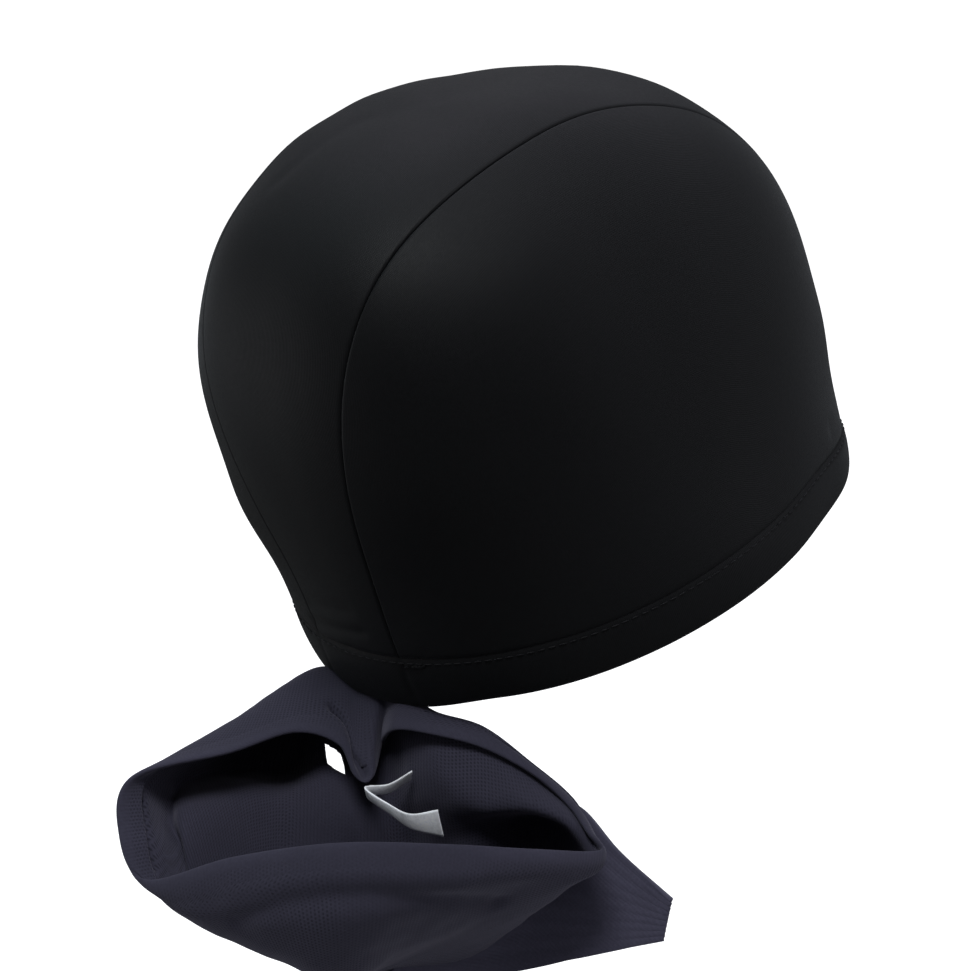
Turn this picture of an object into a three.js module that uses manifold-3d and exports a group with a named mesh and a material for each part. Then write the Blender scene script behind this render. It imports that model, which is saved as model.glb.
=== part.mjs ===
// A stretch-cloth swim cap with a mesh hair pouch under the nape, as it sits on an upright head.
// Millimetres and degrees. +Z is up, the wearer faces -Y, and the wearer's left side is +X.
// The origin is the highest inner point of the crown, where the head touches the cloth.
import * as THREE from 'three';
import { mergeVertices } from 'three/addons/utils/BufferGeometryUtils.js';
import Module from 'manifold-3d';

const GAP = 0.3;

// Cap: cloth wall, hem round the rim, and how much higher the rim stands at the forehead than at the nape
const CAP_WALL = 1.4;
const HEM_HEIGHT = 15;
const HEM_WALL = 2.2;
const HEM_STAND = 0.4;
const HEM_ROUND = 0.7;
const RIM_TILT = 21;
const SQUARENESS = 0.4;
const PANEL_BULGE = 30;
const STRIP_CELLS = { wide: 6, long: 32 };
const PANEL_CELLS = { deep: 10, long: 24 };
const RIM_CELLS = 72;

// Distance of the cloth from the centre of the rim, at each angle down from the crown
const SKULL_STEP = 15;
const SKULL = [
  { down: 0, front: 142, back: 142, side: 142 },
  { down: 15, front: 141, back: 148, side: 145 },
  { down: 30, front: 134, back: 144, side: 128 },
  { down: 45, front: 127, back: 116.5, side: 97.5 },
  { down: 60, front: 109, back: 90.5, side: 81 },
  { down: 75, front: 96, back: 81.5, side: 76.5 },
  { down: 90, front: 89.5, back: 78, side: 74 },
];

// Half the width of the crown strip, at each angle back from the crown (negative is towards the forehead)
const STRIP_STEP = 30;
const STRIP = [
  { back: -120, half: 26 },
  { back: -90, half: 28 },
  { back: -60, half: 32 },
  { back: -30, half: 38 },
  { back: 0, half: 37.5 },
  { back: 30, half: 36 },
  { back: 60, half: 15.5 },
  { back: 90, half: 18.5 },
  { back: 120, half: 19 },
];

// Pouch: mesh cloth wall, hem round the mouth, and the turn of its width from the wearer's X axis
const POUCH_WALL = 1.6;
const POUCH_HEM_WIDTH = 8;
const POUCH_HEM_WALL = 2.4;
const POUCH_TURN = -132;

const rad = THREE.MathUtils.degToRad;
const ACROSS = new THREE.Vector3(Math.cos(rad(POUCH_TURN)), Math.sin(rad(POUCH_TURN)), 0);
const OUT = new THREE.Vector3(Math.sin(rad(POUCH_TURN)), -Math.cos(rad(POUCH_TURN)), 0);

// A point of the pouch, measured from the rim's centre: across its width, out from the neck, and up
function spot(across, out, up) {
  return new THREE.Vector3(0, 0, up).addScaledVector(ACROSS, across).addScaledVector(OUT, out);
}

// One row for each section round the mouth of the pouch, from the tip at the right over the nape to the left
// end and back along the near lip. The cloth runs from the lip over the ridge, past the hollow and the wall
// to the foot.
const SECTIONS = [
  { name: 'right tip', lip: spot(9, 88, -61), ridge: spot(9, 89, -64),
    hollow: spot(7, 90, -67), wall: spot(1, 91, -70), foot: spot(-14, 89, -80) },
  { name: 'right edge', lip: spot(5.5, 83, -57.5), ridge: spot(7, 80, -60),
    hollow: spot(5, 80, -65), wall: spot(-1, 79, -72), foot: spot(-14, 80, -85) },
  { name: 'right notch', lip: spot(0.5, 77, -52), ridge: spot(1, 70.5, -52),
    hollow: spot(-1, 79.5, -56), wall: spot(-4, 70, -64), foot: spot(-17, 75, -89) },
  { name: 'right slope', lip: spot(-9, 74.5, -44), ridge: spot(-10, 69, -43),
    hollow: spot(-10, 79, -52.5), wall: spot(-9, 66, -61), foot: spot(-20, 71, -93) },
  { name: 'right wall', lip: spot(-23, 71, -37.5), ridge: spot(-23, 65, -33.5),
    hollow: spot(-23, 76, -53), wall: spot(-22, 62, -62), foot: spot(-28, 67, -95) },
  { name: 'right of pleat', lip: spot(-37, 68, -34.5), ridge: spot(-36, 61, -29),
    hollow: spot(-35, 67, -55), wall: spot(-35, 60, -70), foot: spot(-37, 65, -97) },
  { name: 'pleat roll', lip: spot(-46.5, 62, -36), ridge: spot(-45, 53, -28),
    hollow: spot(-43, 55, -50), wall: spot(-43, 57, -70), foot: spot(-44, 64, -97) },
  { name: 'pleat gap', lip: spot(-51.5, 54, -44), ridge: spot(-50, 49, -30),
    hollow: spot(-49, 48, -48), wall: spot(-50, 54, -68), foot: spot(-50, 63, -97) },
  { name: 'pleat tongue', lip: spot(-55, 65, -49.5), ridge: spot(-55, 47, -28),
    hollow: spot(-55, 46, -47), wall: spot(-55, 55, -65), foot: spot(-55, 63, -97) },
  { name: 'pleat edge', lip: spot(-59, 62, -46), ridge: spot(-60, 42, -28),
    hollow: spot(-60, 44, -45), wall: spot(-60, 56, -62), foot: spot(-60, 64, -96) },
  { name: 'left of pleat', lip: spot(-64, 58, -39), ridge: spot(-64, 38, -28),
    hollow: spot(-67, 42, -44), wall: spot(-67, 58, -59), foot: spot(-66, 66, -96) },
  { name: 'left shoulder', lip: spot(-75, 61, -36), ridge: spot(-71, 32, -28),
    hollow: spot(-77, 44, -43), wall: spot(-77, 61, -55), foot: spot(-74, 70, -94) },
  { name: 'left awning', lip: spot(-92, 75, -40), ridge: spot(-92, 52, -35.5),
    hollow: spot(-90, 52, -46), wall: spot(-89, 66, -55), foot: spot(-83, 77, -91) },
  { name: 'left corner', lip: spot(-112, 87, -44), ridge: spot(-110, 71, -43.5),
    hollow: spot(-106, 66, -50), wall: spot(-102, 76, -59), foot: spot(-92, 85, -86) },
  { name: 'left end', lip: spot(-120, 93, -55), ridge: spot(-117, 88, -57),
    hollow: spot(-113, 84, -61), wall: spot(-107, 87, -67), foot: spot(-95, 92, -82) },
  { name: 'near left', lip: spot(-113, 101, -65), ridge: spot(-112, 102, -67),
    hollow: spot(-109, 103, -69), wall: spot(-102, 103, -73), foot: spot(-89, 101, -82) },
  { name: 'near', lip: spot(-88, 112, -55), ridge: spot(-88, 114, -58),
    hollow: spot(-87, 116, -64), wall: spot(-85, 115, -73), foot: spot(-76, 105, -88) },
  { name: 'near middle', lip: spot(-60, 117, -49.5), ridge: spot(-60, 119.5, -53),
    hollow: spot(-60, 122, -60), wall: spot(-60, 121, -73), foot: spot(-60, 107, -93) },
  { name: 'near right', lip: spot(-32, 112, -51.5), ridge: spot(-32, 114, -55),
    hollow: spot(-33, 116, -60), wall: spot(-37, 113, -69), foot: spot(-46, 101, -86) },
  { name: 'near tip', lip: spot(-8, 101, -56.5), ridge: spot(-8, 103, -59),
    hollow: spot(-10, 104, -63), wall: spot(-16, 102, -68), foot: spot(-28, 95, -81) },
];
const FLOOR = spot(-55, 85, -98);

// Slit between the left of the pleat and the wall behind it, leaning with the pleat
const SLIT_HEIGHT = 9;
const SLIT_WIDTH = 5;
const SLIT_LEAN = -16;
const SLIT_LENGTH = 24;
const SLIT_MIDDLE = spot(-65, 44, -48.5);

// Flat doubled tail of the pouch, hanging from the right of its far wall
const TAIL_WALL = 3;
const TAIL_BELLY = 2;
const TAIL_CELLS = { wide: 6, long: 10 };
const TAIL = [
  { name: 'root', top: spot(-18, 64, -53), foot: spot(-42, 68, -99) },
  { name: 'notch', top: spot(1, 72, -54), foot: spot(-18, 72, -100) },
  { name: 'slope', top: spot(14, 75, -66), foot: spot(4, 75, -96) },
  { name: 'end', top: spot(27, 77, -78), foot: spot(25, 77, -91.5) },
];

// Care label: a blank ribbon folded once beside the pleat, given by its two edges
const LABEL_WALL = 1;
const LABEL_CELLS = { wide: 2, long: 14 };
const LABEL = [
  { name: 'short end', top: spot(-42.5, 66, -45.5), foot: spot(-43, 63.5, -48.5) },
  { name: 'short side', top: spot(-49, 66, -49.3), foot: spot(-49, 64, -52.3) },
  { name: 'fold', top: spot(-55.5, 66.5, -50.1), foot: spot(-55, 65, -53.1) },
  { name: 'long side', top: spot(-48, 76, -52.3), foot: spot(-48, 74.5, -55.3) },
  { name: 'flap', top: spot(-42.5, 82, -52.8), foot: spot(-42, 80.5, -57.5) },
  { name: 'long end', top: spot(-35, 85, -50.7), foot: spot(-33.5, 83.5, -58.7) },
];

// Smooth value of the named column of a table with evenly stepped rows, at a place counted in rows. The row
// before the first has the value given as before, and the last two rows run straight on.
function columnSpline(rows, column, place, before) {
  const last = rows.length - 1;
  const value = (row) => {
    if (row < 0) return before;
    if (row > last) return 2 * rows[last][column] - rows[last - 1][column];
    return rows[row][column];
  };
  const at = THREE.MathUtils.clamp(place, 0, last - 1e-9);
  const row = Math.floor(at);
  const f = at - row;
  const weights = [(1 - f) ** 3, 3 * f ** 3 - 6 * f ** 2 + 4, -3 * f ** 3 + 3 * f ** 2 + 3 * f + 1, f ** 3];
  return weights.reduce((sum, weight, i) => sum + (weight * value(row - 1 + i)) / 6, 0);
}

// Distance of the cloth from the rim's centre: down is the angle from the crown, turn is 0 at the nape
function skullDistance(down, turn) {
  const place = down / SKULL_STEP;
  const back = columnSpline(SKULL, 'back', place, SKULL[1].front);
  const front = columnSpline(SKULL, 'front', place, SKULL[1].back);
  const side = columnSpline(SKULL, 'side', place, SKULL[1].side);
  const share = (1 + Math.cos(turn)) / 2;
  const long = share * back + (1 - share) * front;
  const power = 2 + SQUARENESS * Math.sin(rad(2 * Math.min(down, 90))) ** 4;
  const lengthwise = Math.abs(Math.cos(turn) / long) ** power;
  const sideways = Math.abs(Math.sin(turn) / side) ** power;
  return (lengthwise + sideways) ** (-1 / power);
}

// Point of the cap's outer surface in the rim's frame, grown outwards by lift
function skullPoint(down, turn, lift = 0) {
  const far = skullDistance(down, turn) + lift;
  const across = far * Math.sin(rad(down));
  return new THREE.Vector3(across * Math.sin(turn), across * Math.cos(turn), far * Math.cos(rad(down)));
}

// The surface point in the direction of a given point, grown outwards by lift
function onSkull(point, lift = 0) {
  const down = THREE.MathUtils.radToDeg(Math.acos(THREE.MathUtils.clamp(point.z / point.length(), -1, 1)));
  return skullPoint(down, Math.atan2(point.x, point.y), lift);
}

// Halves the interval between a value that passes and one that fails, and gives the last one that passes
const HALVINGS = 36;
function bisect(low, high, passes) {
  let inside = low;
  let outside = high;
  for (let i = 0; i < HALVINGS; i += 1) {
    const middle = (inside + outside) / 2;
    if (passes(middle)) inside = middle;
    else outside = middle;
  }
  return inside;
}

const halfStrip = (back) => columnSpline(STRIP, 'half', (back - STRIP[0].back) / STRIP_STEP, STRIP[0].half);

// Point of the outer surface at a distance x from the middle plane, seen from the side at the angle back
function besideMiddle(x, back) {
  const direction = (far) => new THREE.Vector3(x, far * Math.sin(rad(back)), far * Math.cos(rad(back)));
  const far = bisect(0, 220, (reach) => direction(reach).length() < onSkull(direction(reach)).length());
  return direction(far);
}

// Angle back at which a line across the strip reaches the top of the hem; end is 1 at the nape, -1 in front
function hemAngle(xAt, end) {
  const level = HEM_HEIGHT + GAP;
  return end * bisect(0, 115, (back) => besideMiddle(xAt(end * back), end * back).z > level);
}

// Angle down from the crown at which the surface has a given height over the rim
const downAtHeight = (height, turn) => bisect(10, 100, (down) => skullPoint(down, turn).z > height);

// Closed solid between an outer and an inner grid of points; wrap closes the grid along its rows' length
function shellGeometry(outer, inner, wrap = false) {
  const rows = outer.length;
  const columns = outer[0].length;
  const positions = [...outer.flat(), ...inner.flat()].flatMap((p) => [p.x, p.y, p.z]);
  const id = (layer, i, j) => layer * rows * columns + i * columns + (j % columns);
  const end = columns - 1;
  const index = [];
  const quad = (a, b, c, d) => index.push(a, b, c, a, c, d);
  const cells = wrap ? columns : columns - 1;
  for (let i = 0; i < rows - 1; i += 1) {
    for (let j = 0; j < cells; j += 1) {
      quad(id(0, i, j), id(0, i + 1, j), id(0, i + 1, j + 1), id(0, i, j + 1));
      quad(id(1, i, j), id(1, i, j + 1), id(1, i + 1, j + 1), id(1, i + 1, j));
    }
  }
  for (let j = 0; j < cells; j += 1) {
    quad(id(0, 0, j), id(0, 0, j + 1), id(1, 0, j + 1), id(1, 0, j));
    quad(id(0, rows - 1, j + 1), id(0, rows - 1, j), id(1, rows - 1, j), id(1, rows - 1, j + 1));
  }
  if (!wrap) {
    for (let i = 0; i < rows - 1; i += 1) {
      quad(id(0, i + 1, 0), id(0, i, 0), id(1, i, 0), id(1, i + 1, 0));
      quad(id(0, i, end), id(0, i + 1, end), id(1, i + 1, end), id(1, i, end));
    }
  }
  return tidyGeometry(positions, index);
}

// Merges equal corners and drops the triangles that this leaves without area
function tidyGeometry(positions, index) {
  const raw = new THREE.BufferGeometry();
  raw.setAttribute('position', new THREE.Float32BufferAttribute(positions, 3));
  raw.setIndex(index);
  const merged = mergeVertices(raw, 1e-3);
  const kept = [];
  for (let i = 0; i < merged.index.count; i += 3) {
    const [a, b, c] = [0, 1, 2].map((k) => merged.index.getX(i + k));
    if (a !== b && b !== c && c !== a) kept.push(a, b, c);
  }
  merged.setIndex(kept);
  return merged;
}

// Grid of points from a function of two parameters that each run from 0 to 1
function gridOf(rows, columns, pointAt, wrap = false) {
  const line = (count) => Array.from({ length: count + 1 }, (_, i) => i / count);
  const around = wrap ? line(columns).slice(0, -1) : line(columns);
  return line(rows).map((v) => around.map((u) => pointAt(v, u)));
}

const liftGrid = (grid, lift) => grid.map((row) => row.map((point) => onSkull(point, lift)));

// Crown strip: rows run across it, columns from forehead to nape
function stripGrid() {
  return gridOf(STRIP_CELLS.wide, STRIP_CELLS.long, (v, u) => {
    const xAt = (back) => (2 * v - 1) * (halfStrip(back) - GAP / 2);
    const front = hemAngle(xAt, -1);
    const back = front + u * (hemAngle(xAt, 1) - front);
    return besideMiddle(xAt(back), back);
  });
}

// Side panel: columns run from the forehead to the nape, rows from the seam down to the hem
function sidePanel(side) {
  const xAt = (back) => side * (halfStrip(back) + GAP / 2);
  const front = hemAngle(xAt, -1);
  const nape = hemAngle(xAt, 1);
  const corner = (back) => besideMiddle(xAt(back), back);
  const turnOf = (point) => Math.atan2(Math.abs(point.x), point.y);
  const [startTurn, endTurn] = [turnOf(corner(front)), turnOf(corner(nape))];
  const grid = gridOf(PANEL_CELLS.deep, PANEL_CELLS.long, (v, u) => {
    const seam = corner(front + u * (nape - front));
    const turn = side * (startTurn + u * (endTurn - startTurn));
    const foot = skullPoint(downAtHeight(HEM_HEIGHT + GAP, turn), turn);
    const bulge = new THREE.Vector3(side * PANEL_BULGE * v * (1 - v), 0, 0);
    return onSkull(seam.clone().lerp(foot, v).add(bulge));
  });
  const inner = liftGrid(grid, -CAP_WALL);
  return side > 0 ? shellGeometry(grid, inner) : shellGeometry(grid.reverse(), inner.reverse());
}

// Hem band: a turned edge with a rounded foot, swept round the rim and grown on every side by room
function hemBand(room = 0) {
  const face = HEM_STAND + room;
  const back = HEM_STAND - HEM_WALL - room;
  const section = [
    { height: HEM_HEIGHT + room, lift: face },
    { height: HEM_HEIGHT / 2, lift: face },
    { height: HEM_ROUND - room, lift: face },
    { height: -room, lift: face - HEM_ROUND },
    { height: -room, lift: back + HEM_ROUND },
    { height: HEM_ROUND - room, lift: back },
    { height: HEM_HEIGHT + room, lift: back },
  ];
  const positions = [];
  const index = [];
  for (let j = 0; j < RIM_CELLS; j += 1) {
    const turn = (2 * Math.PI * j) / RIM_CELLS;
    for (const { height, lift } of section) {
      const point = skullPoint(downAtHeight(height, turn), turn, lift);
      positions.push(point.x, point.y, height);
    }
  }
  const id = (i, j) => (j % RIM_CELLS) * section.length + (i % section.length);
  for (let j = 0; j < RIM_CELLS; j += 1) {
    for (let i = 0; i < section.length; i += 1) {
      index.push(id(i, j), id(i, j + 1), id(i + 1, j + 1), id(i, j), id(i + 1, j + 1), id(i + 1, j));
    }
  }
  return tidyGeometry(positions, index);
}

// Rings round the pouch at each level of its sections, as smooth closed curves
const LEVELS = ['lip', 'ridge', 'hollow', 'wall', 'foot'];
const RINGS = LEVELS.map((level) => new THREE.CatmullRomCurve3(
  SECTIONS.map((section) => section[level]), true, 'catmullrom', 0.5));

// The cloth's line at one place round the mouth, from the lip to the middle of the floor
function pouchLine(round) {
  const points = RINGS.map((ring) => ring.getPoint(round));
  return new THREE.CatmullRomCurve3([...points, FLOOR], false, 'catmullrom', 0.5);
}

// Moves each point of a wrapped grid along its surface normal; a row drawn to one point moves downwards
function thicken(grid, distance) {
  const rows = grid.length;
  const columns = grid[0].length;
  return grid.map((row, i) => row.map((point, j) => {
    const below = grid[Math.min(i + 1, rows - 1)][j];
    const above = grid[Math.max(i - 1, 0)][j];
    const next = grid[i][(j + 1) % columns];
    const previous = grid[i][(j + columns - 1) % columns];
    const along = next.clone().sub(previous);
    const normal = below.clone().sub(above).cross(along).normalize();
    if (along.length() < 1e-6) normal.set(0, 0, -1);
    return point.clone().addScaledVector(normal, distance);
  }));
}

const ROUND_CELLS = 4 * SECTIONS.length;
const HEM_ROWS = 2;

// Rows of cells under each level, and how far the level lies past the hem at least
const BODY_ROWS = [
  { level: 'lip', rows: 2, pastHem: 0 },
  { level: 'ridge', rows: 3, pastHem: 2 },
  { level: 'hollow', rows: 3, pastHem: 5 },
  { level: 'wall', rows: 2, pastHem: 8 },
  { level: 'foot', rows: 2, pastHem: 11 },
];

// Band of the pouch's cloth along its lip
function hemGrid(width) {
  return gridOf(HEM_ROWS, ROUND_CELLS, (v, u) => {
    const line = pouchLine(u);
    return line.getPointAt((v * width) / line.getLength());
  }, true);
}

// The rest of the cloth, with rows that keep to the levels of the sections
function bodyGrid() {
  const samples = 50;
  const hem = POUCH_HEM_WIDTH + GAP;
  const columns = Array.from({ length: ROUND_CELLS }, (_, j) => {
    const line = pouchLine(j / ROUND_CELLS);
    const lengths = line.getLengths(LEVELS.length * samples);
    const stops = BODY_ROWS.map(({ pastHem }, level) => Math.max(lengths[level * samples], hem + pastHem));
    stops.push(line.getLength());
    return BODY_ROWS.flatMap(({ rows }, level) => Array.from({ length: rows }, (_unused, i) => {
      const length = stops[level] + ((stops[level + 1] - stops[level]) * i) / rows;
      return line.getPointAt(length / line.getLength());
    })).concat(FLOOR);
  });
  return columns[0].map((_, i) => columns.map((column) => column[i]));
}

function wallOf(grid, wall) {
  return shellGeometry(thicken(grid, wall / 2), thicken(grid, -wall / 2), true);
}

const wasm = await Module();
wasm.setup();

// A closed geometry as a solid that can be joined and cut
function toSolid(geometry) {
  const vertProperties = geometry.attributes.position.array;
  const triVerts = new Uint32Array(geometry.index.array);
  return new wasm.Manifold(new wasm.Mesh({ numProp: 3, vertProperties, triVerts }));
}

// The largest body of a solid as a geometry
function toGeometry(solid) {
  const largest = solid.decompose().reduce((best, body) => (body.volume() > best.volume() ? body : best));
  const mesh = largest.getMesh();
  return tidyGeometry([...mesh.vertProperties], [...mesh.triVerts]);
}

// Sheet between the two edges of a table's rows, thickened to both sides
function ribbon(rows, cells, wall, belly) {
  const [top, foot] = ['top', 'foot'].map((edge) => new THREE.CatmullRomCurve3(rows.map((row) => row[edge])));
  const middle = gridOf(cells.wide, cells.long, (v, u) => {
    const bulge = belly * Math.sin(Math.PI * v) * (1 - u);
    return top.getPoint(u).lerp(foot.getPoint(u), v).addScaledVector(OUT, bulge);
  });
  const within = (place, last) => THREE.MathUtils.clamp(place, 0, last);
  const clampedAt = (i, j) => middle[within(i, cells.wide)][within(j, cells.long)];
  const moved = (distance) => middle.map((row, i) => row.map((point, j) => {
    const down = clampedAt(i + 1, j).clone().sub(clampedAt(i - 1, j));
    const along = clampedAt(i, j + 1).clone().sub(clampedAt(i, j - 1));
    return point.clone().addScaledVector(down.cross(along).normalize(), distance);
  }));
  return shellGeometry(moved(wall / 2), moved(-wall / 2));
}

function pouchHem() {
  return wallOf(hemGrid(POUCH_HEM_WIDTH), POUCH_HEM_WALL);
}

// Round bar through the slit, flattened to the slit's width and height
function slitRoom() {
  const bar = new THREE.CylinderGeometry(SLIT_WIDTH / 2, SLIT_WIDTH / 2, SLIT_LENGTH, 12);
  bar.deleteAttribute('normal').deleteAttribute('uv');
  bar.scale(1, 1, SLIT_HEIGHT / SLIT_WIDTH);
  bar.rotateY(rad(SLIT_LEAN));
  bar.rotateZ(rad(POUCH_TURN));
  bar.translate(SLIT_MIDDLE.x, SLIT_MIDDLE.y, SLIT_MIDDLE.z);
  return mergeVertices(bar, 1e-3);
}

// Pouch with its tail, cut clear of its own hem and of the cap's hem, and open at the slit
function pouchBody() {
  const bag = wallOf(bodyGrid(), POUCH_WALL);
  const tail = ribbon(TAIL, TAIL_CELLS, TAIL_WALL, TAIL_BELLY);
  const hemRoom = wallOf(hemGrid(POUCH_HEM_WIDTH + GAP), POUCH_HEM_WALL + 2 * GAP);
  const capRoom = hemBand(GAP).rotateX(-rad(RIM_TILT));
  const rooms = [hemRoom, pouchHem(), capRoom, slitRoom()];
  const whole = toSolid(bag).add(toSolid(tail));
  return toGeometry(rooms.reduce((cloth, room) => cloth.subtract(toSolid(room)), whole));
}

const CAP_COLOUR = '#1c1d20';
const MESH_COLOUR = '#2b2c36';
const LABEL_COLOUR = '#d9dade';
const CAP_ROUGHNESS = 0.62;
const CLOTH_ROUGHNESS = 0.85;

const strip = stripGrid();
const ceiling = liftGrid(strip, -CAP_WALL);
const tilt = new THREE.Euler(-rad(RIM_TILT), 0, 0);
const wornCeiling = ceiling.flat().map((point) => point.clone().applyEuler(tilt));
const seat = wornCeiling.reduce((highest, point) => (point.z > highest.z ? point : highest));

// Everything hangs from the seat, which becomes the origin
const group = new THREE.Group();
const worn = new THREE.Group();
worn.position.set(0, -seat.y, -seat.z);
group.add(worn);
const cap = new THREE.Group();
cap.rotation.copy(tilt);
worn.add(cap);

function addPiece(parent, name, geometry, colour, roughness) {
  const material = new THREE.MeshStandardMaterial({ color: colour, roughness, metalness: 0 });
  const mesh = new THREE.Mesh(geometry, material);
  mesh.name = name;
  parent.add(mesh);
}

addPiece(cap, 'crown_strip', shellGeometry(strip, ceiling), CAP_COLOUR, CAP_ROUGHNESS);
addPiece(cap, 'side_panel_right', sidePanel(-1), CAP_COLOUR, CAP_ROUGHNESS);
addPiece(cap, 'side_panel_left', sidePanel(1), CAP_COLOUR, CAP_ROUGHNESS);
addPiece(cap, 'hem_band', hemBand(), CAP_COLOUR, CAP_ROUGHNESS);
addPiece(worn, 'pouch_hem', pouchHem(), MESH_COLOUR, CLOTH_ROUGHNESS);
addPiece(worn, 'hair_pouch', pouchBody(), MESH_COLOUR, CLOTH_ROUGHNESS);
addPiece(worn, 'care_label', ribbon(LABEL, LABEL_CELLS, LABEL_WALL, 0), LABEL_COLOUR, CLOTH_ROUGHNESS);

export default group;
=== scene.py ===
"""Cloth looks of a stretch swim cap with a mesh hair pouch under the nape.

The pieces follow the same tables as the solids: knit panels with rolled seams, a turned hem with its
stitches, the folded eyelet mesh of the pouch with its tail, and a blank ribbon label. Lengths in the tables
are millimetres from the middle of the rim, with the wearer facing -Y.
"""

import math

import bmesh
import bpy
import numpy as np
from bpy.props import FloatProperty, FloatVectorProperty, PointerProperty
from mathutils import Matrix, Vector, noise


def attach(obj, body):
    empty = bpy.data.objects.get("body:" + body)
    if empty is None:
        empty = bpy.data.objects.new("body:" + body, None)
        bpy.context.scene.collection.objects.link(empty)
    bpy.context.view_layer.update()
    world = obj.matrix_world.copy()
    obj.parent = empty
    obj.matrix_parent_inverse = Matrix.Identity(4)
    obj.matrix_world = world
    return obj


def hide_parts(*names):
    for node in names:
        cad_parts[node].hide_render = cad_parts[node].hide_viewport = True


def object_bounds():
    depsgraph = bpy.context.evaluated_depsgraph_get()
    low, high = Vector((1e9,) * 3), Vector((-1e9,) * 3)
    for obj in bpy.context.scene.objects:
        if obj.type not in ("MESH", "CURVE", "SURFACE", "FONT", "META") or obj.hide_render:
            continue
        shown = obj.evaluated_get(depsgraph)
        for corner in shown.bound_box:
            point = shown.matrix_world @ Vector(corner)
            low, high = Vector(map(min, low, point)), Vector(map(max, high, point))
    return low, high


bl_info = {
    "name": "Swim cap with hair pouch",
    "version": (1, 0, 0),
    "blender": (4, 5, 0),
    "location": "3D View > Sidebar > Swim cap",
    "description": "Makes the cloth of a stretch swim cap and of the mesh pouch under its nape",
    "category": "Object",
}

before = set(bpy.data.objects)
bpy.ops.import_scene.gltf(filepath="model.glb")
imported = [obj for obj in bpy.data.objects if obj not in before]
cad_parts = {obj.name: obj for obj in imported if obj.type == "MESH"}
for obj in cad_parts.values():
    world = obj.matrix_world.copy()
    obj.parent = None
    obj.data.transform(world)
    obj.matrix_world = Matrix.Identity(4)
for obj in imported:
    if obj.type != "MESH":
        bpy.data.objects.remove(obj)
CAD_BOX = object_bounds()
MM = 0.001
MERGE_REACH = 2e-6

# Middle of the rim to the highest inner point of the crown, which is the frame's origin
SEAT = np.array((0.0, 12.7069, 137.8132))

# Cap: cloth wall, how square its outline is, how far a panel's lines bow sideways before they are laid on the
# outline, and the rim's rise from nape to forehead in degrees
CAP_WALL = 0.9
SQUARENESS = 0.4
PANEL_BULGE = 30.0
RIM_TILT = 21.0

# Cells of the cap's cloth, and how much they crowd towards the edges of each piece
CAP_ROWS, STRIP_COLUMNS, PANEL_COLUMNS, HEM_COLUMNS = 220, 48, 110, 360
ROW_CROWDING, STRIP_CROWDING, PANEL_CROWDING = 1.2, 1.7, 1.9

# Hem: height, how far the panels reach under it, its dip over the forehead and its sag at the nape. A dip or
# sag has the turn in degrees at which it starts to change and the degrees over which it does
HEM_HEIGHT, HEM_OVERLAP = 15.0, 2.5
HEM_DIP, DIP_START, DIP_REACH = 5.0, 118.0, 34.0
NAPE_SAG, SAG_MIDDLE, SAG_START, SAG_REACH = 2.7, 5.0, 15.0, 22.0

# Stitches: height as a share of the hem's, lift off the cloth, and the half gap between two as a share of one
STITCH_HEIGHT, STITCH_LIFT, STITCH_GAP = 0.9, 0.2, 0.12
STITCH_LINE_STEPS = 1440

# Searches for a point of the cap: halvings, farthest distance, widest angle of the strip, angles of the rim
HALVINGS = 36
FARTHEST, STRIP_END = 220, 115
RIM_SEARCH = 10, 100

# Distance of the cloth from the middle of the rim: degrees down from the crown, front, back, side
SKULL_STEP = 15.0
SKULL = np.array((
    (0, 142, 142, 142),
    (15, 141, 148, 145),
    (30, 134, 144, 128),
    (45, 127, 116.5, 97.5),
    (60, 109, 90.5, 81),
    (75, 96, 81.5, 76.5),
    (90, 89.5, 78, 74),
))
FRONT, BACK, SIDE = SKULL[:, 1], SKULL[:, 2], SKULL[:, 3]

# Half width of the crown strip: degrees back from the crown, half width
STRIP_STEP = 30.0
STRIP = np.array((
    (-120, 26),
    (-90, 28),
    (-60, 32),
    (-30, 38),
    (0, 37.5),
    (30, 36),
    (60, 15.5),
    (90, 18.5),
    (120, 19),
))

# Seams: how far the cloth rolls in at a seam and over what width, the shallower left seam and the degrees back
# at which it starts, and the same at the hem's stitch line and where the seams run under the hem
SEAM_DEPTH, SEAM_WIDTH = 0.8, 1.0
LEFT_SEAM, LEFT_SEAM_START = 0.35, 25
VALLEY_DEPTH, VALLEY_WIDTH = 0.55, 1.9
HEM_SEAM_DEPTH, HEM_SEAM_WIDTH = 0.6, 1.6

# Uneven waves of the cloth: height, length and the number that starts the pattern
CAP_WAVE = (0.12, 26.0, 3.0)
HEM_WAVE = (0.16, 17.0, 8.0)
POUCH_WAVES = ((0.5, 14.0, 5.0), (0.25, 6.0, 9.0))
TAIL_WAVE = (0.4, 11.0, 2.0)

# Outline of the turned hem from its stitch line round the rim and up the inside: height, lift
HEM_OUTLINE = np.array((
    (15.5, -0.95),
    (15.1, -0.5),
    (14.3, -0.12),
    (13.0, 0.2),
    (11.0, 0.4),
    (8.0, 0.48),
    (5.0, 0.46),
    (2.6, 0.38),
    (1.1, 0.12),
    (0.3, -0.32),
    (0.1, -0.8),
    (0.4, -1.3),
    (1.3, -1.66),
    (3.0, -1.78),
    (7.0, -1.8),
    (11.0, -1.8),
    (14.4, -1.78),
    (15.3, -1.5),
))

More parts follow.
